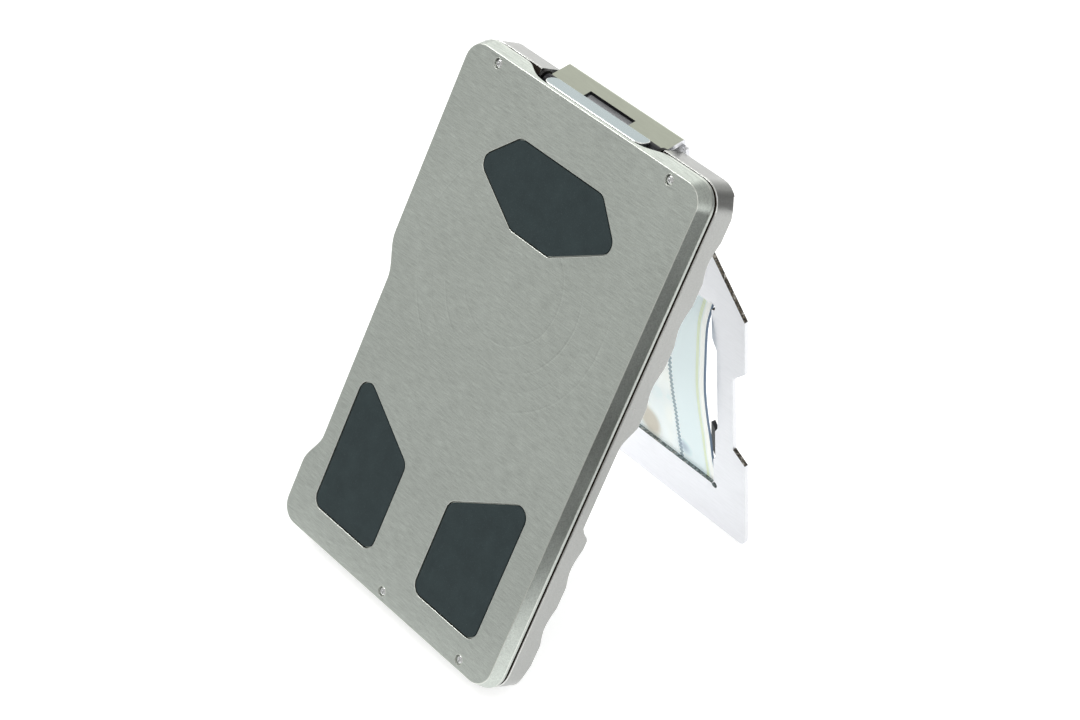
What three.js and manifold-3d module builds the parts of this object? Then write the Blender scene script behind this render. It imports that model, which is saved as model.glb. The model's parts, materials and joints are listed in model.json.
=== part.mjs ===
// A machined metal card wallet with a hinged sheet frame that swings out as a stand.
//
// Each half of the wallet is drawn in the case's own axes, in millimetres:
//   X runs across the width, Y runs from the front face (0) to the back, Z runs up the height.
// The swing frame is drawn closed, about its hinge axis, and a group turns it open.
// A last group leans the open wallet back, so that it stands on its heel and on the frame's foot.
import * as THREE from "three";
import { mergeVertices } from "three/addons/utils/BufferGeometryUtils.js";
import Module from "manifold-3d";

const wasm = await Module();
wasm.setup();

// ---- driving dimensions, millimetres ----
const WIDTH = 60;
const HEIGHT = 98.5;
const HALF = WIDTH / 2;
const CORNER_R = 4.6;

// Front plate: steep chamfer, short land, then a fine parting gap.
const CHAMFER_IN = 0.95;
const CHAMFER_DEEP = 2.55;
const PLATE_DEPTH = 3.2;
const PARTING_GAP = 0.7;
const FACE_SKIN = 1.3;

// Back body.
const BODY_FRONT = PLATE_DEPTH + PARTING_GAP;
const BODY_BACK = 9.05;
const BODY_FLOOR = 7.0;
const RIM_BREAK = 0.35;
const FRONT_BREAK = 0.12;

// Card pocket: open on the left, closed at the right, top and bottom.
const POCKET_RIGHT = 27.2;
const POCKET_LOW = 6;
const POCKET_HIGH = 92.4;

// Thumb indentation of the left edge.
const THUMB_DEEP = 2.45;
const THUMB = { lowStart: 12.2, lowEnd: 19, highStart: 51.5, highEnd: 59.5 };

// Scallops and deep recess along the back edges.
const WAVE = { pitch: 11.85, crest: 8.4, height: 1.25 };
const RECESS = { lowOut: 31.2, lowIn: 34.6, highIn: 49.6, highOut: 54.6, deep: 2.8 };
const SCALLOP_SLOPE = 0.5;

// Shallow tray in the back face for the bulge of the folded note.
const TRAY = { half: 22.4, low: 17, high: 68, floor: 7.75, r: 2 };

// Grip pads.
const PAD_POCKET = 0.6;
const PAD_PROUD = 0.05;
const PAD_BACK = 0.5;
const PAD_GAP = 0.22;
const PAD_TOP = [
  [10.4, 87.45], [-10.4, 87.45], [-17.8, 80.05], [-4.9, 72.6], [4.9, 72.6], [17.8, 80.05],
];
const PAD_SIDE = [
  [5.95, 6.85], [22.95, 6.85], [22.95, 35], [5.95, 25.2],
];
const PAD_R = 2.3;

// Screws and their inserts: places across and up the face. The inserts stand out of the back body
// and space the two halves apart.
const SCREWS = [
  [-21.6, 96], [21.6, 96], [0, 2.6], [21.6, 2.6],
];
const SCREW = { headR: 0.8, boreR: 0.87, seat: 0.8, shankR: 0.6, end: 6.9, socketR: 0.4, socketDeep: 0.6 };
const INSERT = { r: 1.0, boreR: 0.68, start: PLATE_DEPTH + 0.02, end: 7.1 };

// Top notch, hinge and swing frame.
const NOTCH = { half: 15.4, low: 94.7 };
const LIP = { deep: 0.6, half: 10.5, mouth: 18.4 };
const HINGE = { y: 4.8, z: 96.9, pinR: 0.75, knuckleR: 1.25, play: 0.09 };
const OPENING = THREE.MathUtils.degToRad(33.4);
const SHEET = 0.8;
const FLANGE = { half: 14.4, reach: 5.75, top: 0.4, slotLeft: -6.15, slotRight: 5.15, slotEnd: 3, bendR: 0.45 };
const KNUCKLE = { inner: 6.3, outer: 14.1 };
const FRAME = {
  half: 29.3, length: 87.2, neck: 15.3, neckEnd: 12.8, shoulder: 31.1, footR: 2,
  notchTop: 43.2, notchHigh: 46.4, notchLow: 63.9, notchEnd: 66, notchDeep: 3.05,
};
const WINDOW = {
  half: 21.05, wide: 22.25, top: 32, bottom: 76.75, wideTop: 42.3, wideBottom: 61.4, relief: 0.75,
};
// The two side tongues are bent back out of the sheet, behind the note.
const TONGUE = { root: 22, tip: 19, back: 1.5, top: 62.6, bottom: 69.4 };

// Folded note: its middle bows forward through the window. Rows are [down from the bend, depth].
const NOTE = {
  half: 20.75, top: 23, bottom: 86.4, thick: 0.32,
  bow: [
    [23, 5.84], [31.4, 5.83], [33.2, 5.5], [35.6, 4.6], [38.4, 4.05], [44.6, 3.65], [52, 3.42],
    [59, 3.92], [64.6, 4.58], [69.6, 5.04], [74.2, 5.6], [76.6, 5.82], [86.4, 5.84],
  ],
};

// Hinge keeper bar.
const KEEPER = {
  half: 12.3, front: 1.25, back: 4.45, low: 95, topFront: 97.75, topBack: 98.45, frontR: 1.6, backR: 1.2,
};
const KEEPER_FOOT = { half: 9, low: 93.4, back: 3.1 };

// Leaf spring in the card pocket.
const LEAF = { half: 5.5, low: 20, high: 78, thick: 0.35, bow: 0.85 };
const RIVETS = [24.5, 73.5];

// ---- materials ----
const paint = (color, roughness, metalness) =>
  new THREE.MeshStandardMaterial({ color, roughness, metalness });
const machined = paint(0xa9ada3, 0.42, 0.95);
const bodyMetal = paint(0xb4b6b2, 0.38, 0.95);
const sheetMetal = paint(0xdfe0e4, 0.35, 0.9);
const keeperMetal = paint(0xb7c4c8, 0.3, 0.95);
const steel = paint(0xc9cbcc, 0.25, 1);
const springSteel = paint(0x9a9b98, 0.35, 1);
const rubber = paint(0x3c484b, 0.8, 0);
const paper = paint(0xd6e2e0, 0.85, 0);

// ---- solids ----
function toSolid(geometry) {
  const bare = geometry.index ? geometry.toNonIndexed() : geometry.clone();
  bare.deleteAttribute("normal");
  bare.deleteAttribute("uv");
  const merged = mergeVertices(bare, 1e-4);
  const mesh = new wasm.Mesh({
    numProp: 3,
    vertProperties: merged.attributes.position.array,
    triVerts: new Uint32Array(merged.index.array),
  });
  return new wasm.Manifold(mesh);
}

function toGeometry(solid) {
  const mesh = solid.getMesh();
  const geometry = new THREE.BufferGeometry();
  geometry.setAttribute("position", new THREE.BufferAttribute(mesh.vertProperties, 3));
  geometry.setIndex(new THREE.BufferAttribute(mesh.triVerts, 1));
  geometry.computeVertexNormals();
  return geometry;
}

function part(name, solid, material) {
  const mesh = new THREE.Mesh(toGeometry(solid), material);
  mesh.name = name;
  return mesh;
}

// A flat outline in X and Z, carried along Y from y0 to y1.
function prismY(shape, y0, y1, segments = 6) {
  const geometry = new THREE.ExtrudeGeometry(shape, {
    depth: y1 - y0, bevelEnabled: false, curveSegments: segments,
  });
  return toSolid(geometry.rotateX(Math.PI / 2).translate(0, y1, 0));
}

// A flat outline in Y and Z, carried along X from x0 to x1.
function prismX(shape, x0, x1, segments = 6) {
  const geometry = new THREE.ExtrudeGeometry(shape, {
    depth: x1 - x0, bevelEnabled: false, curveSegments: segments,
  });
  return toSolid(geometry.rotateY(Math.PI / 2).rotateX(Math.PI / 2).translate(x0, 0, 0));
}

// A flat outline in X and Y, carried up from z0 to z1.
function prismZ(shape, z0, z1, segments = 6) {
  const geometry = new THREE.ExtrudeGeometry(shape, {
    depth: z1 - z0, bevelEnabled: false, curveSegments: segments,
  });
  return toSolid(geometry.translate(0, 0, z0));
}

function box(x0, x1, y0, y1, z0, z1) {
  const geometry = new THREE.BoxGeometry(x1 - x0, y1 - y0, z1 - z0);
  return toSolid(geometry.translate((x0 + x1) / 2, (y0 + y1) / 2, (z0 + z1) / 2));
}

function rodX(radius, x0, x1, y, z, sides = 20) {
  const geometry = new THREE.CylinderGeometry(radius, radius, x1 - x0, sides);
  return toSolid(geometry.rotateZ(Math.PI / 2).translate((x0 + x1) / 2, y, z));
}

function rodY(radius, y0, y1, x, z, sides = 20) {
  const geometry = new THREE.CylinderGeometry(radius, radius, y1 - y0, sides);
  return toSolid(geometry.translate(x, (y0 + y1) / 2, z));
}

// A turned shape about an axis along Y through (x, z); the profile is [radius, y] pairs.
function turnedY(profile, x, z, sides = 20) {
  const points = profile.map(([r, y]) => new THREE.Vector2(r, y));
  return toSolid(new THREE.LatheGeometry(points, sides).translate(x, 0, z));
}

// A closed solid through rings of equal point count; each ring is points in X and Z at a depth y.
function loft(rings) {
  const count = rings[0].points.length;
  const positions = [];
  const indices = [];
  for (const ring of rings) {
    for (const p of ring.points) positions.push(p.x, ring.y, p.y);
  }
  for (let r = 0; r + 1 < rings.length; r++) {
    for (let i = 0; i < count; i++) {
      const a = r * count + i;
      const b = r * count + ((i + 1) % count);
      indices.push(a, a + count, b + count, a, b + count, b);
    }
  }
  const last = (rings.length - 1) * count;
  for (const [a, b, c] of THREE.ShapeUtils.triangulateShape(rings[0].points, [])) {
    indices.push(a, b, c);
  }
  for (const [a, b, c] of THREE.ShapeUtils.triangulateShape(rings.at(-1).points, [])) {
    indices.push(last + a, last + c, last + b);
  }
  const geometry = new THREE.BufferGeometry();
  geometry.setAttribute("position", new THREE.Float32BufferAttribute(positions, 3));
  geometry.setIndex(indices);
  return toSolid(geometry);
}

// ---- outlines ----
const smooth = (from, to, value) => THREE.MathUtils.smoothstep(value, from, to);

// How far the left edge is set in by the thumb indentation at height z.
function thumbInset(z) {
  const rise = smooth(THUMB.lowStart, THUMB.lowEnd, z);
  const fall = smooth(THUMB.highStart, THUMB.highEnd, z);
  return THUMB_DEEP * (rise - fall);
}

// The case outline, anticlockwise as seen from the front, moved in by inset.
function caseOutline(inset) {
  const points = [];
  const r = CORNER_R - inset;
  const corner = (cx, cz, start) => {
    const steps = 7;
    for (let i = 0; i <= steps; i++) {
      const angle = start + (i / steps) * (Math.PI / 2);
      points.push(new THREE.Vector2(cx + r * Math.cos(angle), cz + r * Math.sin(angle)));
    }
  };
  corner(HALF - CORNER_R, CORNER_R, -Math.PI / 2);
  corner(HALF - CORNER_R, HEIGHT - CORNER_R, 0);
  corner(-HALF + CORNER_R, HEIGHT - CORNER_R, Math.PI / 2);
  const run = (from, to) => {
    const steps = 10;
    for (let i = 0; i <= steps; i++) {
      const z = from + ((to - from) * i) / steps;
      points.push(new THREE.Vector2(-HALF + inset + thumbInset(z), z));
    }
  };
  run(THUMB.highEnd, THUMB.highStart);
  run(THUMB.lowEnd, THUMB.lowStart);
  corner(-HALF + CORNER_R, CORNER_R, Math.PI);
  return points;
}

// A polygon with every corner rounded to radius r, shrunk on all sides by gap.
function roundedPolygon(corners, r, gap = 0) {
  let points = corners.map(([x, z]) => new THREE.Vector2(x, z));
  if (THREE.ShapeUtils.area(points) < 0) points = points.reverse();
  const count = points.length;
  const inward = points.map((p, i) => {
    const next = points[(i + 1) % count];
    const side = next.clone().sub(p).normalize();
    return new THREE.Vector2(-side.y, side.x);
  });
  const moved = points.map((p, i) => {
    const n0 = inward[(i + count - 1) % count];
    const n1 = inward[i];
    const share = gap / (1 + n0.dot(n1));
    return p.clone().addScaledVector(n0, share).addScaledVector(n1, share);
  });
  const shape = new THREE.Shape();
  moved.forEach((p, i) => {
    const before = moved[(i + count - 1) % count].clone().sub(p).normalize();
    const after = moved[(i + 1) % count].clone().sub(p).normalize();
    const half = Math.acos(THREE.MathUtils.clamp(before.dot(after), -1, 1)) / 2;
    const radius = Math.max(r - gap, 0.3);
    const cut = radius / Math.tan(half);
    const centre = before.clone().add(after).normalize().multiplyScalar(radius / Math.sin(half)).add(p);
    const start = p.clone().addScaledVector(before, cut).sub(centre);
    const end = p.clone().addScaledVector(after, cut).sub(centre);
    shape.absarc(centre.x, centre.y, radius, start.angle(), end.angle(), false);
  });
  return shape;
}

// The depth of the back edge at height z: scallops, and the deep recess over two of them.
function edgeDepth(z) {
  const swing = Math.cos((2 * Math.PI * (z - WAVE.crest)) / WAVE.pitch);
  const inRecess = smooth(RECESS.lowOut, RECESS.lowIn, z) - smooth(RECESS.highIn, RECESS.highOut, z);
  const wave = (WAVE.height / 2) * (1 - swing) * (1 - inRecess);
  return BODY_BACK - wave - RECESS.deep * inRecess;
}

// ---- case ----
// Cutter for one long edge of the back body; it slopes up to the back face inwards.
function scallopCutter(side) {
  const shape = new THREE.Shape();
  const low = 1.5;
  const high = HEIGHT - 1.5;
  const steps = 96;
  const top = BODY_BACK + 6;
  shape.moveTo(top, low);
  for (let i = 0; i <= steps; i++) {
    const z = low + ((high - low) * i) / steps;
    shape.lineTo(edgeDepth(z), z);
  }
  shape.lineTo(top, high);
  const reach = 6;
  const geometry = new THREE.ExtrudeGeometry(shape, { depth: reach + 1, bevelEnabled: false });
  geometry.rotateY(Math.PI / 2).rotateX(Math.PI / 2).translate(HALF - reach, 0, 0);
  const position = geometry.attributes.position;
  for (let i = 0; i < position.count; i++) {
    position.setY(i, position.getY(i) + (HALF - position.getX(i)) * SCALLOP_SLOPE);
  }
  if (side > 0) return toSolid(geometry);
  return toSolid(geometry).mirror([1, 0, 0]);
}

function screwHole(x, z) {
  const profile = [
    [0, -0.2], [SCREW.boreR + 0.25, -0.2], [SCREW.boreR, 0.08], [SCREW.boreR, SCREW.seat],
    [SCREW.shankR + 0.15, SCREW.seat], [SCREW.shankR + 0.15, PLATE_DEPTH + 1], [0, PLATE_DEPTH + 1],
  ];
  return turnedY(profile, x, z);
}

// Cutter for the plate's top notch: a thin lip stays in front, and both ends sweep out.
function lipCutter() {
  const shape = new THREE.Shape();
  shape.moveTo(-LIP.mouth, PLATE_DEPTH + 1);
  shape.lineTo(-LIP.mouth, PLATE_DEPTH);
  shape.bezierCurveTo(-15.2, 2.3, -14.6, LIP.deep, -LIP.half, LIP.deep);
  shape.lineTo(LIP.half, LIP.deep);
  shape.bezierCurveTo(14.6, LIP.deep, 15.2, 2.3, LIP.mouth, PLATE_DEPTH);
  shape.lineTo(LIP.mouth, PLATE_DEPTH + 1);
  return prismZ(shape, NOTCH.low, HEIGHT + 1, 10);
}

const padOutlines = {
  grip_pad_top: PAD_TOP,
  grip_pad_left: PAD_SIDE.map(([x, z]) => [-x, z]),
  grip_pad_right: PAD_SIDE,
};

function frontPlate() {
  let plate = loft([
    { y: 0, points: caseOutline(CHAMFER_IN) },
    { y: CHAMFER_DEEP, points: caseOutline(0) },
    { y: PLATE_DEPTH, points: caseOutline(0) },
  ]);
  plate = plate.subtract(box(-HALF - 2, POCKET_RIGHT, FACE_SKIN, PLATE_DEPTH + 1, POCKET_LOW, POCKET_HIGH));
  for (const outline of Object.values(padOutlines)) {
    plate = plate.subtract(prismY(roundedPolygon(outline, PAD_R), -1, PAD_POCKET));
  }
  for (const [x, z] of SCREWS) plate = plate.subtract(screwHole(x, z));
  plate = plate.subtract(lipCutter());
  const foot = KEEPER_FOOT.half + 0.2;
  return plate.subtract(box(-foot, foot, KEEPER.front - 0.2, PLATE_DEPTH + 1, KEEPER_FOOT.low - 0.2, HEIGHT));
}

function backBody() {
  let body = loft([
    { y: BODY_FRONT, points: caseOutline(FRONT_BREAK) },
    { y: BODY_FRONT + FRONT_BREAK, points: caseOutline(0) },
    { y: BODY_BACK - RIM_BREAK, points: caseOutline(0) },
    { y: BODY_BACK, points: caseOutline(RIM_BREAK) },
  ]);
  body = body.subtract(box(-HALF - 2, POCKET_RIGHT, BODY_FRONT - 1, BODY_FLOOR, POCKET_LOW, POCKET_HIGH));
  body = body.subtract(scallopCutter(1)).subtract(scallopCutter(-1));
  const tray = [
    [-TRAY.half, TRAY.low], [TRAY.half, TRAY.low], [TRAY.half, TRAY.high], [-TRAY.half, TRAY.high],
  ];
  body = body.subtract(prismY(roundedPolygon(tray, TRAY.r), TRAY.floor, BODY_BACK + 1));
  body = body.subtract(box(-NOTCH.half, NOTCH.half, BODY_FRONT - 1, BODY_BACK + 1, NOTCH.low, HEIGHT + 1));
  body = body.subtract(rodX(HINGE.pinR + 0.05, -19, 19, HINGE.y, HINGE.z));
  for (const [x, z] of SCREWS) {
    body = body.subtract(rodY(INSERT.r + 0.05, BODY_FRONT - 1, INSERT.end + 0.2, x, z));
  }
  for (const z of RIVETS) body = body.subtract(rodY(0.65, BODY_FLOOR - 1, TRAY.floor - 0.25, 0, z));
  return body;
}

function gripPad(outline) {
  return prismY(roundedPolygon(outline, PAD_R, PAD_GAP), PAD_PROUD, PAD_BACK);
}

function caseScrew(x, z) {
  const profile = [
    [0, SCREW.socketDeep], [SCREW.socketR, SCREW.socketDeep], [SCREW.socketR, 0.2],
    [0.58, 0.24], [0.72, 0.33], [SCREW.headR, 0.46], [SCREW.headR, SCREW.seat - 0.05],
    [SCREW.shankR, SCREW.seat - 0.05], [SCREW.shankR, SCREW.end - 0.3],
    [SCREW.shankR - 0.25, SCREW.end], [0, SCREW.end],
  ];
  return turnedY(profile, x, z, 18);
}

function threadInsert(x, z) {
  const profile = [
    [INSERT.boreR, INSERT.start], [INSERT.r, INSERT.start], [INSERT.r, INSERT.end],
    [INSERT.boreR, INSERT.end], [INSERT.boreR, INSERT.start],
  ];
  return turnedY(profile, x, z, 16);
}

// ---- card spring ----
function cardSpring() {
  const rest = BODY_FLOOR - 0.15;
  const shape = new THREE.Shape();
  const steps = 24;
  const face = (i) => {
    const share = i / steps;
    const y = rest - LEAF.thick - LEAF.bow * Math.sin(Math.PI * smooth(0.12, 0.88, share));
    return [y, LEAF.low + (LEAF.high - LEAF.low) * share];
  };
  shape.moveTo(...face(0));
  for (let i = 1; i <= steps; i++) shape.lineTo(...face(i));
  for (let i = steps; i >= 0; i--) {
    const [y, z] = face(i);
    shape.lineTo(y + LEAF.thick, z);
  }
  let leaf = prismX(shape, -LEAF.half, LEAF.half);
  for (const z of RIVETS) leaf = leaf.subtract(rodY(0.65, 0, BODY_BACK, 0, z));
  return leaf;
}

function springRivet(z) {
  const under = BODY_FLOOR - 0.15 - LEAF.thick - 0.05;
  const profile = [
    [0, under - 0.35], [0.8, under - 0.35], [1.1, under], [0.58, under], [0.58, TRAY.floor - 0.35],
    [0, TRAY.floor - 0.35],
  ];
  return turnedY(profile, 0, z, 16);
}

// ---- hinge ----
function hingeKeeper() {
  const plan = new THREE.Shape();
  const { half, front, back, frontR, backR } = KEEPER;
  plan.absarc(-half + frontR, front + frontR, frontR, Math.PI, 1.5 * Math.PI, false);
  plan.absarc(half - frontR, front + frontR, frontR, 1.5 * Math.PI, 2 * Math.PI, false);
  plan.absarc(half - backR, back - backR, backR, 0, Math.PI / 2, false);
  plan.absarc(-half + backR, back - backR, backR, Math.PI / 2, Math.PI, false);
  const bar = prismZ(plan, KEEPER.low, HEIGHT);
  const profile = new THREE.Shape();
  profile.moveTo(front - 1, KEEPER.low - 1);
  profile.lineTo(KEEPER_FOOT.back, KEEPER.low - 1);
  profile.lineTo(KEEPER_FOOT.back, HINGE.z);
  profile.lineTo(3.45, KEEPER.topFront);
  profile.lineTo(back - 0.15, KEEPER.topBack - 0.28);
  profile.lineTo(back + 0.5, KEEPER.topBack - 0.28);
  profile.lineTo(back + 0.5, KEEPER.topBack + 0.1);
  profile.lineTo(front, KEEPER.topFront);
  profile.lineTo(front - 1, KEEPER.topFront - 0.4);
  const trimmed = bar.intersect(prismX(profile, -half - 1, half + 1));
  const { half: footHalf, low, back: footBack } = KEEPER_FOOT;
  return trimmed.add(box(-footHalf, footHalf, front, footBack, low, KEEPER.low + 1));
}

function hingePin() {
  return rodX(HINGE.pinR, -18.6, 18.6, HINGE.y, HINGE.z);
}

function frictionWasher(side) {
  const near = KNUCKLE.outer + 0.35;
  const ring = rodX(1.6, near, near + 0.6, HINGE.y, HINGE.z, 24);
  const washer = ring.subtract(rodX(HINGE.pinR + HINGE.play, near - 1, near + 2, HINGE.y, HINGE.z));
  return side > 0 ? washer : washer.mirror([1, 0, 0]);
}

// ---- swing frame, drawn closed about the hinge axis at Y = 0, Z = 0 ----
const sheetFront = FLANGE.reach - SHEET;
const level = (m) => FLANGE.top - m; // height of a point m below the top of the bend

// The right half of the sheet's outline, from the top down, then mirrored.
function frameOutline() {
  const f = FRAME;
  const right = [
    [f.neck, 1.4], [f.neck, f.neckEnd], [f.half, f.shoulder], [f.half, f.notchTop],
    [f.half - f.notchDeep, f.notchHigh], [f.half - f.notchDeep, f.notchLow],
    [f.half, f.notchEnd], [f.half, f.length - f.footR],
  ];
  const shape = new THREE.Shape();
  shape.moveTo(right[0][0], level(right[0][1]));
  for (const [x, m] of right) shape.lineTo(x, level(m));
  shape.quadraticCurveTo(f.half, level(f.length), f.half - f.footR, level(f.length));
  shape.lineTo(-f.half + f.footR, level(f.length));
  shape.quadraticCurveTo(-f.half, level(f.length), -f.half, level(f.length - f.footR));
  for (const [x, m] of right.reverse()) shape.lineTo(-x, level(m));
  return shape;
}

function windowOutline() {
  const w = WINDOW;
  const right = [
    [w.half, w.top], [w.half, w.wideTop - 2.4], [w.wide, w.wideTop], [w.wide, w.wideBottom],
    [w.half + 0.55, TONGUE.top], [w.half + 0.55, TONGUE.bottom], [w.half, TONGUE.bottom + 0.6],
    [w.half, w.bottom],
  ];
  const shape = new THREE.Shape();
  shape.moveTo(right[0][0], level(right[0][1]));
  for (const [x, m] of right) shape.lineTo(x, level(m));
  for (const [x, m] of right.reverse()) shape.lineTo(-x, level(m));
  return shape;
}

// A tongue at the right edge of the window: a strip bent back, with a rounded end.
function noteTongue() {
  const { root, tip, back, top, bottom } = TONGUE;
  const strip = new THREE.Shape();
  const along = new THREE.Vector2(tip - root, back).normalize();
  const depth = new THREE.Vector2(along.y, -along.x).multiplyScalar(SHEET);
  strip.moveTo(root + 0.6, sheetFront);
  strip.lineTo(root + 0.6, FLANGE.reach);
  strip.lineTo(root - 0.2, FLANGE.reach);
  strip.lineTo(tip + depth.x, sheetFront + back + depth.y);
  strip.lineTo(tip, sheetFront + back);
  strip.lineTo(root, sheetFront);
  const r = 1.5;
  const face = [
    [root + 1, level(bottom)], [root + 1, level(top)], [tip - 0.5, level(top)], [tip - 0.5, level(bottom)],
  ];
  return prismZ(strip, level(bottom), level(top)).intersect(
    prismY(roundedPolygon(face, r), sheetFront - 1, FLANGE.reach + 4).add(
      box(root, root + 2, sheetFront - 1, FLANGE.reach + 4, level(bottom), level(top)),
    ),
  );
}

function standFrame() {
  const bend = new THREE.Shape();
  const { top, reach, half, bendR, slotLeft, slotRight, slotEnd } = FLANGE;
  bend.moveTo(0.9, top);
  bend.lineTo(reach - bendR, top);
  bend.absarc(reach - bendR, top - bendR, bendR, Math.PI / 2, 0, true);
  bend.lineTo(reach, top - 4);
  bend.lineTo(sheetFront, top - 4);
  bend.lineTo(sheetFront, top - SHEET);
  bend.lineTo(0.9, top - SHEET);
  let frame = prismX(bend, -half, half, 8);
  frame = frame.subtract(box(slotLeft, slotRight, 0, slotEnd, -2, 2));
  frame = frame.add(prismY(frameOutline(), sheetFront, reach));
  frame = frame.subtract(prismY(windowOutline(), sheetFront - 1, reach + 1));
  for (const side of [-1, 1]) {
    for (const m of [WINDOW.top + 0.5, WINDOW.bottom - 0.1]) {
      const reliefX = side * (WINDOW.half + 0.15);
      frame = frame.subtract(rodY(WINDOW.relief, sheetFront - 1, reach + 1, reliefX, level(m), 16));
    }
    const near = side > 0 ? KNUCKLE.inner : -KNUCKLE.outer;
    const far = side > 0 ? KNUCKLE.outer : -KNUCKLE.inner;
    frame = frame.add(rodX(HINGE.knuckleR, near, far, 0, 0));
  }
  frame = frame.add(noteTongue()).add(noteTongue().mirror([1, 0, 0]));
  return frame.subtract(rodX(HINGE.pinR + HINGE.play, -20, 20, 0, 0));
}

// The folded note: a thin sheet whose section follows the bow.
function foldedNote() {
  const curve = new THREE.SplineCurve(NOTE.bow.map(([m, y]) => new THREE.Vector2(y, level(m))));
  const steps = 60;
  const front = curve.getSpacedPoints(steps);
  const shape = new THREE.Shape();
  shape.moveTo(front[0].x, front[0].y);
  for (const p of front.slice(1)) shape.lineTo(p.x, p.y);
  for (let i = steps; i >= 0; i--) {
    const along = curve.getTangentAt(i / steps);
    const p = front[i];
    shape.lineTo(p.x - along.y * NOTE.thick, p.y + along.x * NOTE.thick);
  }
  return prismX(shape, -NOTE.half, NOTE.half);
}

// ---- assembly ----
const wallet = new THREE.Group();
wallet.add(part("front_plate", frontPlate(), machined));
wallet.add(part("back_body", backBody(), bodyMetal));
for (const [name, outline] of Object.entries(padOutlines)) {
  wallet.add(part(name, gripPad(outline), rubber));
}
SCREWS.forEach(([x, z], i) => {
  wallet.add(part(`case_screw_${i + 1}`, caseScrew(x, z), steel));
  wallet.add(part(`thread_insert_${i + 1}`, threadInsert(x, z), springSteel));
});
wallet.add(part("card_spring", cardSpring(), springSteel));
RIVETS.forEach((z, i) => wallet.add(part(`spring_rivet_${i + 1}`, springRivet(z), steel)));
wallet.add(part("hinge_keeper", hingeKeeper(), keeperMetal));
wallet.add(part("hinge_pin", hingePin(), steel));
wallet.add(part("friction_washer_left", frictionWasher(-1), springSteel));
wallet.add(part("friction_washer_right", frictionWasher(1), springSteel));

const swing = new THREE.Group();
swing.position.set(0, HINGE.y, HINGE.z);
swing.rotation.x = OPENING;
swing.add(part("stand_frame", standFrame(), sheetMetal));
swing.add(part("folded_note", foldedNote(), paper));
wallet.add(swing);

// The lean at which the back body's heel and the open frame's foot reach the same level.
const footReach = new THREE.Vector2(sheetFront, level(FRAME.length)).rotateAround(new THREE.Vector2(), OPENING);
const heelY = BODY_BACK - RIM_BREAK;
const lean = Math.atan2(HINGE.z + footReach.y, HINGE.y + footReach.x - heelY);
wallet.rotation.x = -lean;

const assembly = new THREE.Group();
assembly.add(wallet);
assembly.updateMatrixWorld(true);
const extent = new THREE.Box3().setFromObject(assembly, true);
const middle = extent.getCenter(new THREE.Vector3());
wallet.position.set(0, -middle.y, -extent.min.z);

export default assembly;
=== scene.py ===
"""Looks for the metal card wallet on its swing-out frame: pieces, materials, light and camera."""

import json
import math

import bmesh
import bpy
from mathutils import Matrix, Vector


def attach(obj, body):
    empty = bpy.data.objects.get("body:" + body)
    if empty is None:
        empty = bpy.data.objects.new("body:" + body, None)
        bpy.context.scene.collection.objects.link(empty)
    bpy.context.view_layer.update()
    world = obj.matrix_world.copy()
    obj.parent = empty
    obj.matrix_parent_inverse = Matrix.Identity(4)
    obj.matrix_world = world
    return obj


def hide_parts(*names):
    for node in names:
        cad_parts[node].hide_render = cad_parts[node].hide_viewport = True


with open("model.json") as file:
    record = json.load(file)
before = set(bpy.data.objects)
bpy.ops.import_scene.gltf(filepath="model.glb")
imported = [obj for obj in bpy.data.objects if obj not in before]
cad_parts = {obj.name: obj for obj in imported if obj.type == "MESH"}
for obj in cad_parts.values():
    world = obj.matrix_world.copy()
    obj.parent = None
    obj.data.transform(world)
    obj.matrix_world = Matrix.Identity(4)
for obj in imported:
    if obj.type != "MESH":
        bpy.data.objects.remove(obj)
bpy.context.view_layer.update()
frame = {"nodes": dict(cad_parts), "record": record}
record = frame["record"]

MM = 0.001
scene = bpy.context.scene

# ---- places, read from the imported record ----
face_mount = record["mounts"][0]
swing_joint = record["behaviour"]["joints"][0]
face_normal = Vector(face_mount["axis"])
LEAN = math.atan2(face_normal.z, -face_normal.y)
OPENING = math.radians(-swing_joint["range_deg"][0])
FACE_MOUNT_HEIGHT = 50 * MM
lean_turn = Matrix.Rotation(-LEAN, 4, "X")
case_origin = Vector(face_mount["pos_m"]) - lean_turn @ Vector((0, 0, FACE_MOUNT_HEIGHT))
# The case's own axes: X across, Y from the face to the back, Z up its height.
CASE = Matrix.Translation(case_origin) @ lean_turn
# The swing frame's own axes where it stands open, about its hinge. They lie along the case's
# axes when the frame is closed.
SWING = Matrix.Translation(Vector(swing_joint["pos_m"])) @ Matrix.Rotation(OPENING - LEAN, 4, "X")


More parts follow.
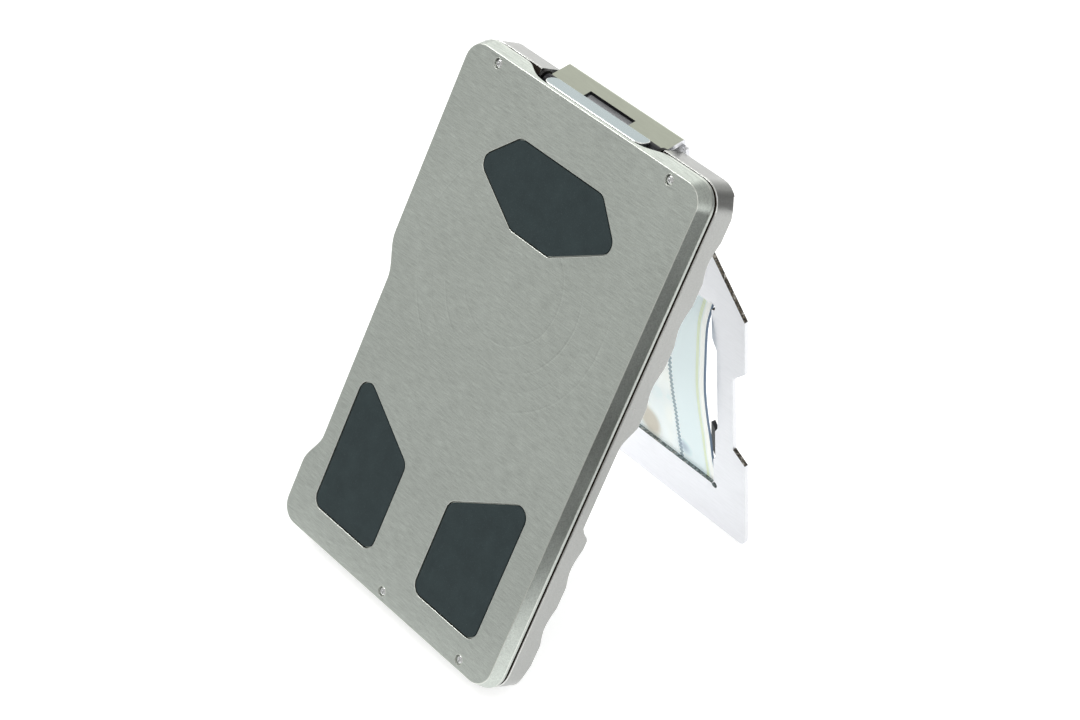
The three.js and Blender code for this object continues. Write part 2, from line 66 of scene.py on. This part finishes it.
# ---- node helpers ----
class Nodes:
    """A short way to write the node tree of a material or a world."""

    def __init__(self, owner, shader_name):
        owner.use_nodes = True
        self.owner = owner
        self.tree = owner.node_tree
        self.shader = self.tree.nodes[shader_name]

    def add(self, kind, inputs=(), **settings):
        node = self.tree.nodes.new(kind)
        for key, value in settings.items():
            setattr(node, key, value)
        for key, value in dict(inputs).items():
            self.feed(node.inputs[key], value)
        return node

    def feed(self, socket, value):
        if isinstance(value, bpy.types.NodeSocket):
            self.tree.links.new(value, socket)
        else:
            socket.default_value = value

    def math(self, operation, a, b=0.0):
        return self.add("ShaderNodeMath", {0: a, 1: b}, operation=operation).outputs[0]

    def measure(self, operation, a, b=(0, 0, 0)):
        """A vector operation that gives one number, such as LENGTH or DOT_PRODUCT."""
        node = self.add("ShaderNodeVectorMath", {0: a, 1: b}, operation=operation)
        return node.outputs["Value"]

    def shaded(self, color, factor):
        """A fixed colour times a factor that varies."""
        node = self.add("ShaderNodeVectorMath", {0: color[:3], "Scale": factor}, operation="SCALE")
        return node.outputs[0]

    def local(self, matrix):
        """Object coordinates in the axes that matrix places, in metres."""
        where = self.add("ShaderNodeTexCoord").outputs["Object"]
        mapping = self.add("ShaderNodeMapping", {"Vector": where}, vector_type="TEXTURE")
        mapping.inputs["Location"].default_value = matrix.to_translation()
        mapping.inputs["Rotation"].default_value = matrix.to_euler()
        return mapping.outputs[0]

    def axes(self, vector):
        return self.add("ShaderNodeSeparateXYZ", {0: vector}).outputs

    def joined(self, x, z=0.0):
        return self.add("ShaderNodeCombineXYZ", {0: x, 2: z}).outputs[0]

    def stretched(self, vector, scale):
        return self.add("ShaderNodeMapping", {"Vector": vector, "Scale": scale}).outputs[0]

    def noise(self, vector, scale, detail, roughness):
        inputs = {"Vector": vector, "Scale": scale, "Detail": detail, "Roughness": roughness}
        return self.add("ShaderNodeTexNoise", inputs).outputs["Fac"]

    def span(self, value, low, high, to_low, to_high, curve="LINEAR"):
        """The value's way from low to high, as a way from to_low to to_high, and no further."""
        inputs = {
            "Value": value,
            "From Min": low,
            "From Max": high,
            "To Min": to_low,
            "To Max": to_high,
        }
        return self.add("ShaderNodeMapRange", inputs, interpolation_type=curve).outputs[0]

    def band(self, value, low, high, edge):
        """One between low and high, fading to zero over edge on both sides."""
        rise = self.span(value, low - edge, low, 0, 1)
        return self.math("MULTIPLY", rise, self.span(value, high, high + edge, 1, 0))

    def less(self, shade, darkness):
        """A shade with this share of it taken away."""
        return self.math("MULTIPLY", shade, self.math("SUBTRACT", 1.0, darkness))

    def spot(self, x, y, centre, reach):
        """Distance from the centre of an ellipse: zero in the middle and one on its edge."""
        total = 0.0
        for value, middle, size in zip((x, y), centre, reach):
            step = self.math("DIVIDE", self.math("SUBTRACT", value, middle), size)
            total = self.math("ADD", total, self.math("MULTIPLY", step, step))
        return self.math("SQRT", total)

    def mix(self, factor, a, b):
        node = self.add("ShaderNodeMix", {0: factor}, data_type="RGBA")
        self.feed(node.inputs[6], a)
        self.feed(node.inputs[7], b)
        return node.outputs[2]

    def bump(self, height, distance, strength):
        inputs = {"Height": height, "Distance": distance, "Strength": strength}
        return self.add("ShaderNodeBump", inputs).outputs[0]

    def surface(self, **sockets):
        for key, value in sockets.items():
            self.feed(self.shader.inputs[key.replace("_", " ")], value)
        return self.owner


def new_material(name):
    return Nodes(bpy.data.materials.new(name), "Principled BSDF")


def linear(r, g, b):
    """A colour read as 0-255 sRGB numbers, as linear RGBA."""

    def one(v):
        v = v / 255
        return v / 12.92 if v <= 0.04045 else ((v + 0.055) / 1.055) ** 2.4

    return (one(r), one(g), one(b), 1.0)


# ---- materials ----
# The milling arcs' centre, up the case, and each arc's radius and width in mm, and its strength.
ARC_CENTRE = 65.5 * MM
ARCS = (
    (11.4, 0.22, 0.9),
    (13.3, 0.16, 0.35),
    (16.1, 0.24, 0.9),
    (19.4, 0.18, 0.4),
    (22.9, 0.24, 0.7),
)
# Shading in the notch of the body's top, in the case's axes. It reaches just past the notch's
# sides and just under its floor, and fades out towards the top.
NOTCH_SHADE_HALF = 15.7 * MM
NOTCH_SHADE_START = 94.6 * MM
NOTCH_FADE_LOW = 95 * MM
NOTCH_FADE_HIGH = 98.4 * MM
# Shading of the frame's neck, in the frame's axes. It keeps to the front side of the sheet and
# to the middle of the neck, and fades in upwards.
NECK_SHADE_HALF = 13.4 * MM
NECK_SHADE_DEPTH = 5.05 * MM
NECK_SHADE_END = 5.15 * MM
NECK_FADE_LOW = -7 * MM
NECK_FADE_HIGH = -3 * MM


def milling_arcs(n, place):
    """Pairs of a light and a dark arc about a point of the face, broken and wandering a little."""
    x, _, z = n.axes(place)
    across_face = n.stretched(place, (1, 0, 1))
    distance = n.measure("LENGTH", n.joined(x, n.math("SUBTRACT", z, ARC_CENTRE)))
    wander = n.noise(across_face, 55, 2, 0.5)
    radius = n.math("ADD", distance, n.span(wander, 0.3, 0.7, -0.4 * MM, 0.4 * MM))
    total = 0.0
    for at, width, strength in ARCS:
        off = n.math("SUBTRACT", radius, at * MM)
        light = n.span(n.math("ABSOLUTE", off), 0, width * MM, strength, 0)
        inner = n.math("ABSOLUTE", n.math("ADD", off, 1.2 * width * MM))
        dark = n.span(inner, 0, width * MM, strength, 0)
        total = n.math("ADD", total, n.math("SUBTRACT", light, dark))
    breaks = n.noise(across_face, 42, 2, 0.5)
    return n.math("MULTIPLY", total, n.span(breaks, 0.42, 0.66, 0.0, 1.0))


def machined_metal(name, matrix, color, roughness, brush, arcs=False, notch_dark=False):
    """Aluminium with a fine brushing along X, small specks and cloudy patches.

    arcs adds faint milling arcs. notch_dark shades what is deep in the notch under the flange.
    """
    n = new_material(name)
    place = n.local(matrix)
    fine = n.noise(n.stretched(place, (420, 4800, 4800)), 1.0, 3, 0.65)
    coarse = n.noise(n.stretched(place, (300, 1500, 1500)), 1.0, 2, 0.5)
    cloud = n.noise(place, 60, 3, 0.6)
    speck = n.noise(place, 4200, 2, 0.7)
    grain = n.math("ADD", n.math("MULTIPLY", fine, 0.78), n.math("MULTIPLY", coarse, 0.22))
    shade = n.math("ADD", n.span(grain, 0.3, 0.7, -0.12 * brush, 0.12 * brush), 1.0)
    shade = n.math("ADD", shade, n.span(cloud, 0.3, 0.7, -0.02, 0.02))
    shade = n.math("ADD", shade, n.span(speck, 0.35, 0.65, -0.05 * brush, 0.05 * brush))
    height = n.math("ADD", grain, n.math("MULTIPLY", speck, 0.35))
    if arcs:
        shown = milling_arcs(n, place)
        shade = n.math("ADD", shade, n.math("MULTIPLY", shown, 0.14))
        height = n.math("ADD", height, n.math("MULTIPLY", shown, 0.3))
    if notch_dark:
        x, _, z = n.axes(place)
        across = n.band(x, -NOTCH_SHADE_HALF, NOTCH_SHADE_HALF, 0.3 * MM)
        depth = n.span(z, NOTCH_FADE_LOW, NOTCH_FADE_HIGH, 0.97, 0.0)
        depth = n.math("MULTIPLY", depth, n.math("GREATER_THAN", z, NOTCH_SHADE_START))
        shade = n.less(shade, n.math("MULTIPLY", across, depth))
    return n.surface(
        Base_Color=n.shaded(color, shade),
        Metallic=1.0,
        Roughness=n.span(cloud, 0.3, 0.7, roughness - 0.04, roughness + 0.04),
        Normal=n.bump(height, 0.004 * MM, 0.6),
    )


def plain_metal(name, matrix, color, roughness, grain=0.6, neck_dark=False):
    """Sheet or turned metal: short streaks, faint clouds and slightly uneven gloss.

    neck_dark shades the front of the neck, deep in the notch under the flange.
    """
    n = new_material(name)
    place = n.local(matrix)
    streak = n.noise(n.stretched(place, (300, 2600, 4200)), 1.0, 2, 0.6)
    cloud = n.noise(place, 130, 3, 0.6)
    shade = n.math("ADD", n.span(streak, 0.3, 0.7, -0.03, 0.03), 1.0)
    shade = n.math("ADD", shade, n.span(cloud, 0.3, 0.7, -0.035, 0.035))
    if neck_dark:
        x, y, z = n.axes(place)
        front = n.span(y, NECK_SHADE_DEPTH, NECK_SHADE_END, 1, 0)
        middle = n.band(x, -NECK_SHADE_HALF, NECK_SHADE_HALF, MM)
        front = n.math("MULTIPLY", front, middle)
        height = n.span(z, NECK_FADE_LOW, NECK_FADE_HIGH, 0, 0.8)
        shade = n.less(shade, n.math("MULTIPLY", height, front))
    return n.surface(
        Base_Color=n.shaded(color, shade),
        Metallic=1.0,
        Roughness=n.span(cloud, 0.3, 0.7, roughness - 0.05, roughness + 0.05),
        Normal=n.bump(streak, 0.003 * MM, grain),
    )


def dark_edge(name, dark, light):
    """Sheared or shaded metal: two dark tones with pale stains."""
    n = new_material(name)
    place = n.local(SWING)
    speck = n.noise(place, 2600, 2, 0.6)
    stain = n.noise(place, 700, 2, 0.6)
    pale = linear(198, 194, 186)
    color = n.mix(n.span(speck, 0.4, 0.62, 0, 1), dark, light)
    color = n.mix(n.span(stain, 0.56, 0.66, 0, 0.8), color, pale)
    return n.surface(Base_Color=color, Metallic=0.3, Roughness=0.6)


def flat_dark(name, color, roughness=0.6):
    return new_material(name).surface(
        Base_Color=color,
        Roughness=roughness,
        Specular_IOR_Level=0.2,
    )


def pad_rubber(name):
    """Dark rubber with soft clouds and pale grains."""
    n = new_material(name)
    place = n.local(CASE)
    grain = n.noise(place, 5200, 2, 0.6)
    cloud = n.noise(place, 240, 3, 0.6)
    deep = linear(40, 51, 53)
    soft = linear(46, 58, 60)
    pale = linear(84, 96, 98)
    color = n.mix(n.span(cloud, 0.3, 0.7, 0, 1), deep, soft)
    color = n.mix(n.span(grain, 0.55, 0.75, 0, 0.3), color, pale)
    return n.surface(
        Base_Color=color,
        Roughness=n.span(grain, 0.3, 0.7, 0.62, 0.8),
        Specular_IOR_Level=0.22,
        Normal=n.bump(grain, 0.02 * MM, 0.7),
    )


# The flange's top, in mm above the hinge's axis.
FLANGE_TOP = 0.4
# The note's pattern, in mm: across from the frame's middle, and down from the flange's top.
FIELD_START = 11.6
FIELD_FULL = 12.6
STRIPE = (18.35, 19.05)
MARGIN = (19.4, 20.35)
RIGHT_EDGE = (20.42, 20.5)
BEAD_LENGTH = 1.1
BEAD_HALF_THIN = 0.14
BEAD_HALF_THICK = 0.55
PATCH_CENTRE = (3.3, 73.0)
PATCH_REACH = (3.5, 4.5)
SMUDGE_CENTRE = (12.6, 73.4)
SMUDGE_REACH = (2.2, 2.4)


def note_print(name):
    """Paper printed with plain stripes, a dotted line, a soft tan patch and faint slanting tints; it
    glows faintly, as painted light.
    """
    n = new_material(name)
    place = n.local(SWING)
    x, _, z = n.axes(place)
    across = n.math("MULTIPLY", x, 1000)
    down = n.math("SUBTRACT", FLANGE_TOP, n.math("MULTIPLY", z, 1000))
    fibre = n.noise(n.stretched(place, (900, 900, 2600)), 1.0, 3, 0.6)
    blotch = n.noise(place, 110, 3, 0.6)
    slant = n.noise(n.stretched(place, (190, 0, 60)), 1.0, 2, 0.6)
    color = n.mix(n.span(slant, 0.42, 0.62, 0, 0.7), linear(236, 244, 245), linear(240, 242, 234))
    color = n.mix(n.span(blotch, 0.46, 0.66, 0, 0.6), color, linear(208, 222, 226))
    # a pale cyan field, then the stripes towards the right edge
    color = n.mix(n.span(across, FIELD_START, FIELD_FULL, 0, 1), color, linear(224, 237, 239))
    wave_inputs = {"Vector": n.joined(across), "Scale": 1.1}
    lines = n.add("ShaderNodeTexWave", wave_inputs, bands_direction="X").outputs["Fac"]
    stripe_color = n.mix(lines, linear(200, 214, 176), linear(234, 240, 226))
    color = n.mix(n.band(across, *STRIPE, 0.12), color, stripe_color)
    color = n.mix(n.band(across, *MARGIN, 0.1), color, linear(244, 246, 242))
    color = n.mix(n.span(across, *RIGHT_EDGE, 0, 1), color, linear(104, 120, 140))
    # the dotted line, a row of beads along the field's start
    bead = n.math("ABSOLUTE", n.math("SINE", n.math("MULTIPLY", down, math.pi / BEAD_LENGTH)))
    thick = n.span(bead, 0.0, 1.0, BEAD_HALF_THIN, BEAD_HALF_THICK)
    off = n.math("ABSOLUTE", n.math("SUBTRACT", across, FIELD_START))
    rope = n.math("MULTIPLY", n.math("LESS_THAN", off, thick), 0.75)
    color = n.mix(rope, color, linear(112, 134, 146))
    # the tan patch and a bluish smudge low down
    patch = n.spot(across, down, PATCH_CENTRE, PATCH_REACH)
    color = n.mix(n.span(patch, 0.6, 1.1, 0.8, 0), color, linear(188, 180, 164))
    smudge = n.spot(across, down, SMUDGE_CENTRE, SMUDGE_REACH)
    color = n.mix(n.span(smudge, 0.2, 1.1, 0.6, 0), color, linear(140, 158, 178))
    return n.surface(
        Base_Color=color,
        Roughness=0.72,
        Specular_IOR_Level=0.25,
        Normal=n.bump(fibre, 0.01 * MM, 0.5),
        # The glow is painted light, lifting the paper where it lies in shade between the case and
        # the frame.
        Emission_Color=color,
        Emission_Strength=0.3,
    )


plate_metal = machined_metal(
    "plate_metal", CASE, linear(194, 200, 194), roughness=0.36, brush=1.6, arcs=True
)
body_metal = machined_metal(
    "body_metal", CASE, linear(176, 177, 175), roughness=0.3, brush=0.8, notch_dark=True
)
# Dark brown painted shade for the faces in the parting gap and in the bed under the keeper.
gap_painted_shade = flat_dark("gap_painted_shade", linear(52, 44, 38))
# Near-black painted shade for the hinge pin and washers, so the hole they sit in reads dark.
hinge_painted_shade = flat_dark("hinge_painted_shade", linear(26, 25, 25), 0.45)
frame_edge = dark_edge("frame_edge", linear(28, 25, 23), linear(112, 104, 92))
sill_metal = dark_edge("sill_metal", linear(84, 92, 92), linear(158, 168, 168))
# Near-black painted shade for the tongues, the hinge knuckle and the slot walls.
tongue_painted_shade = flat_dark("tongue_painted_shade", linear(40, 40, 44), 0.5)
frame_metal = plain_metal("frame_metal", SWING, linear(232, 233, 237), 0.34, neck_dark=True)
# A darker, greener copy of the frame's metal for the flange's top: painted shade.
flange_painted_shade = plain_metal("flange_painted_shade", SWING, linear(187, 191, 177), 0.34)
keeper_metal = plain_metal("keeper_metal", CASE, linear(152, 163, 166), 0.25)
# Brighter copies of the metals for the rounded edges: painted highlights.
keeper_painted_highlight = plain_metal("keeper_painted_highlight", CASE, linear(244, 246, 245), 0.3)
plate_painted_highlight = plain_metal("plate_painted_highlight", CASE, linear(222, 225, 218), 0.34)
body_painted_highlight = plain_metal("body_painted_highlight", CASE, linear(240, 241, 238), 0.34)
bright_steel = plain_metal("bright_steel", CASE, linear(225, 226, 226), 0.2, 0.3)
spring_steel = plain_metal("spring_steel", CASE, linear(160, 160, 156), 0.28)
rubber = pad_rubber("pad_rubber")
paper = note_print("note_paper")

# ---- pieces ----
WELD = 1e-7
FLAT_WITHIN = math.radians(0.6)
SHARP_FROM = math.radians(16.0)
# Long pieces whose smallest face would otherwise limit the rounding of every edge.
FULL_ROUNDING = ("hinge_keeper", "front_plate", "back_body")


def refined(node, edge, material, body, extra=(), pick=None, rim=None):
    """A copy of a CAD node with its sharp edges rounded, by edge in mm, to catch the light.

    pick(centre, normal), in the case's or the swing frame's axes and millimetres, returns which of
    the materials a face takes: 0 for material and 1 upwards for the extra ones. rim is the rounded
    edges' own brighter material, a painted highlight, if they have one.
    """
    mesh = frame["nodes"][node].data.copy()
    for layer in ("custom_normal", "sharp_edge", "sharp_face"):
        if layer in mesh.attributes:
            mesh.attributes.remove(mesh.attributes[layer])
    mesh.materials.clear()
    for each in (material, *extra, *((rim,) if rim else ())):
        mesh.materials.append(each)
    shape = bmesh.new()
    shape.from_mesh(mesh)
    bmesh.ops.remove_doubles(shape, verts=shape.verts, dist=WELD)
    bmesh.ops.dissolve_limit(
        shape, angle_limit=FLAT_WITHIN, verts=shape.verts, edges=shape.edges
    )
    inverse = (SWING if body == "stand" else CASE).inverted()
    for face in shape.faces:
        face.smooth = True
        face.material_index = 0
        if pick:
            centre = inverse @ face.calc_center_median() / MM
            face.material_index = pick(centre, inverse.to_3x3() @ face.normal)
    shape.to_mesh(mesh)
    shape.free()
    piece = bpy.data.objects.new("fine_" + node, mesh)
    scene.collection.objects.link(piece)
    rounding = piece.modifiers.new("rounding", "BEVEL")
    rounding.width = edge * MM
    rounding.segments = 2
    rounding.material = len(mesh.materials) - 1 if rim else -1
    rounding.limit_method = "ANGLE"
    rounding.angle_limit = SHARP_FROM
    rounding.use_clamp_overlap = node not in FULL_ROUNDING
    facing = piece.modifiers.new("facing", "WEIGHTED_NORMAL")
    facing.mode = "FACE_AREA"
    facing.weight = 100
    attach(piece, body)
    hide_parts(node)


# Which faces take another material. All places are in mm in the axes of the case or the frame.
FACING = 0.9
PLATE_INSIDE = 1.2
KEEPER_BED_FRONT = 0.7
KEEPER_BED_HALF = 18
KEEPER_BED_LOW = 93
BODY_FRONT = 4
# GAP faces take the painted shade: the plate's back and the body's front in the parting gap, and the
# bed under the keeper.
PLAIN, GAP = range(2)

SHOULDER_DOWN = (12, 32)
SIDE_NOTCH_DOWN = (62, 67)
SIDE_NOTCH_FROM = 25
SILL_DOWN = (76, 78)
SILL_HALF = 22.5
TONGUE_DOWN = (62, 70)
TONGUE_HALF = 22.4
TONGUE_INNER_HALF = 21.9
TONGUE_BACK = 5.7
RELIEF_DOWN = (31, 34)
RELIEF_ACROSS = (20.3, 22.1)
KNUCKLE_RADIUS = 1.45
SLOT_HALF = 6.5
SLOT_DEPTH = (2, 3.2)
SLOT_HEIGHT = (-1, 0.5)
FLANGE_FACE = 0.3
SHEET, CUT_EDGE, TONGUE, FLANGE, SILL = range(5)


def inside(value, limits):
    return limits[0] < value < limits[1]


def plate_faces(centre, normal):
    if normal.y <= FACING:
        return PLAIN
    in_gap = centre.y > PLATE_INSIDE
    in_keeper_bed = (
        abs(centre.x) < KEEPER_BED_HALF
        and centre.y > KEEPER_BED_FRONT
        and centre.z > KEEPER_BED_LOW
    )
    return GAP if in_gap or in_keeper_bed else PLAIN


def body_faces(centre, normal):
    return GAP if normal.y < -FACING and centre.y < BODY_FRONT else PLAIN


def frame_faces(centre, normal):
    down = FLANGE_TOP - centre.z
    across = abs(centre.x)
    tongue = inside(down, TONGUE_DOWN) and across < TONGUE_HALF
    tongue = tongue and (centre.y > TONGUE_BACK or across < TONGUE_INNER_HALF)
    knuckle = math.hypot(centre.y, centre.z) < KNUCKLE_RADIUS
    slot_wall = (
        across < SLOT_HALF
        and inside(centre.y, SLOT_DEPTH)
        and inside(centre.z, SLOT_HEIGHT)
        and normal.z < 0.5
    )
    # Tongues, the knuckle and the slot walls take the near-black painted shade.
    if tongue or knuckle or slot_wall:
        return TONGUE
    # The flange's top takes the darker copy of the frame's metal, painted shade.
    if centre.z > FLANGE_FACE and normal.z > FACING:
        return FLANGE
    if inside(down, SILL_DOWN) and normal.z > 0.5 and across < SILL_HALF:
        return SILL
    shoulder = inside(down, SHOULDER_DOWN) and abs(normal.x) > 0.5 and normal.z > 0.2
    side_notch = inside(down, SIDE_NOTCH_DOWN) and across > SIDE_NOTCH_FROM and normal.z > 0.3
    relief = inside(down, RELIEF_DOWN) and inside(across, RELIEF_ACROSS) and abs(normal.y) < 0.5
    return CUT_EDGE if shoulder or side_notch or relief else SHEET


refined(
    "front_plate", 0.1, plate_metal, "wallet", (gap_painted_shade,), plate_faces, plate_painted_highlight
)
refined("back_body", 0.06, body_metal, "wallet", (gap_painted_shade,), body_faces, body_painted_highlight)
for side in ("top", "left", "right"):
    refined("grip_pad_" + side, 0.14, rubber, "wallet")
refined("hinge_keeper", 0.15, keeper_metal, "wallet", rim=keeper_painted_highlight)
refined(
    "stand_frame",
    0.12,
    frame_metal,
    "stand",
    (frame_edge, tongue_painted_shade, flange_painted_shade, sill_metal),
    frame_faces,
)
for i in range(1, 5):
    refined(f"case_screw_{i}", 0.05, bright_steel, "wallet")

for node, material in {
    "hinge_pin": hinge_painted_shade,
    "friction_washer_left": hinge_painted_shade,
    "friction_washer_right": hinge_painted_shade,
    "card_spring": spring_steel,
    "spring_rivet_1": bright_steel,
    "spring_rivet_2": bright_steel,
    "folded_note": paper,
    **{f"thread_insert_{i}": spring_steel for i in range(1, 5)},
}.items():
    mesh = frame["nodes"][node].data
    mesh.materials.clear()
    mesh.materials.append(material)

# ---- stage ----
FLOOR_CORNERS = ((-3, -3), (3, -3), (3, 3), (-3, 3))
FLAG_HEIGHT = 0.0005
FLAG_CORNERS = (
    (0.07, -1.5), (1.6, -1.5), (1.6, 1.5), (0.25, 1.5), (0.19, 0.15), (0.12, 0.045), (0.07, 0.02),
)
CARD_HEIGHT = 0.0004
CARD_CORNERS = ((-1.5, -1.5), (0.07, -1.5), (0.07, -0.055), (-1.5, -0.055))


def level_sheet(name, corners, height, material, mirrored_only=False):
    """A flat level sheet of the studio, which the camera can see or only reflections can."""
    mesh = bpy.data.meshes.new(name)
    mesh.from_pydata([(x, y, height) for x, y in corners], [], [tuple(range(len(corners)))])
    mesh.materials.append(material)
    sheet = bpy.data.objects.new(name, mesh)
    scene.collection.objects.link(sheet)
    if mirrored_only:
        sheet.visible_camera = False
        sheet.visible_diffuse = False
        sheet.visible_shadow = False
        sheet.visible_transmission = False


floor_white = new_material("floor_white").surface(
    Base_Color=(0.82, 0.82, 0.82, 1),
    Roughness=0.9,
    Specular_IOR_Level=0.1,
    Emission_Color=(1, 1, 1, 1),
    Emission_Strength=0.55,
)
flag_black = new_material("flag_black").surface(
    Base_Color=(0.03, 0.03, 0.03, 1),
    Roughness=0.9,
)
card_grey = new_material("card_grey").surface(
    Base_Color=(0.0, 0.0, 0.0, 1),
    Roughness=1.0,
    Specular_IOR_Level=0.0,
    Emission_Color=(1, 1, 1, 1),
    Emission_Strength=0.6,
)
level_sheet("floor", FLOOR_CORNERS, 0, floor_white)
# A dark flag on the floor to the right, which the metal mirrors.
level_sheet("flag", FLAG_CORNERS, FLAG_HEIGHT, flag_black, mirrored_only=True)
# A glowing grey card on the floor in front, which the face mirrors, so that it shades evenly.
level_sheet("front_card", CARD_CORNERS, CARD_HEIGHT, card_grey, mirrored_only=True)

world = bpy.data.worlds.new("studio")
scene.world = world
sky = Nodes(world, "Background")
sky_place = sky.add("ShaderNodeTexCoord").outputs["Generated"]


def sky_patch(toward, low, high, to_low, to_high):
    """A round soft patch of sky about a direction; low and high are cosines away from it."""
    nearness = sky.measure("DOT_PRODUCT", sky_place, Vector(toward).normalized())
    return sky.span(nearness, low, high, to_low, to_high, curve="SMOOTHSTEP")


# a bright patch behind on the left, on a sky that dims slightly upwards
back_glow = sky_patch((-0.575, 0.72, 0.36), 0.88, 0.985, 0.0, 0.95)
height_glow = sky.span(sky.axes(sky_place)["Z"], 0.0, 0.9, 0.62, 0.46)
glow = sky.math("ADD", back_glow, height_glow)
# a darker patch behind on the right, which the case's upper right corner mirrors
back_shade = sky_patch((0.5, 0.86, 0.03), 0.82, 0.96, 1.0, 0.22)
sky.surface(Color=(1.0, 1.0, 0.975, 1), Strength=sky.math("MULTIPLY", glow, back_shade))


def area_light(name, place, aim, size, power):
    data = bpy.data.lights.new(name, "AREA")
    data.shape = "RECTANGLE"
    data.size = size
    data.size_y = size
    data.energy = power
    lamp = bpy.data.objects.new(name, data)
    lamp.location = place
    lamp.rotation_euler = (Vector(aim) - Vector(place)).to_track_quat("-Z", "Y").to_euler()
    scene.collection.objects.link(lamp)


area_light("key", place=(0.5, -0.1, 0.9), aim=(0, 0, 0.04), size=0.6, power=1.7)
area_light("overhead", place=(-0.46, -0.24, 0.65), aim=(0, 0, 0.04), size=0.35, power=2.4)
area_light("right_fill", place=(0.42, -0.02, 0.14), aim=(0, 0.03, 0.04), size=0.2, power=0.25)

# ---- camera, placed in the case's own axes ----
CAMERA_AT = Vector((270.84, -336.63, 205.47)) * MM
CAMERA_TO = Vector((15.49, -4.51, 58.91)) * MM
CAMERA_UP = Vector((0, -0.49106, 0.87112))
CAMERA_LENS = 89.13
SENSOR_WIDTH = 36
CLIP_START = 0.01

camera_data = bpy.data.cameras.new("camera")
camera_data.lens = CAMERA_LENS
camera_data.sensor_width = SENSOR_WIDTH
camera_data.clip_start = CLIP_START
camera = bpy.data.objects.new("camera", camera_data)
look = (CASE.to_3x3() @ (CAMERA_TO - CAMERA_AT)).normalized()
up = (CASE.to_3x3() @ CAMERA_UP).normalized()
right = look.cross(up).normalized()
up = right.cross(look)
turn = Matrix((right, up, -look)).transposed().to_4x4()
camera.matrix_world = Matrix.Translation(CASE @ CAMERA_AT) @ turn
scene.collection.objects.link(camera)
scene.camera = camera

scene.view_settings.view_transform = "Standard"
scene.view_settings.look = "None"
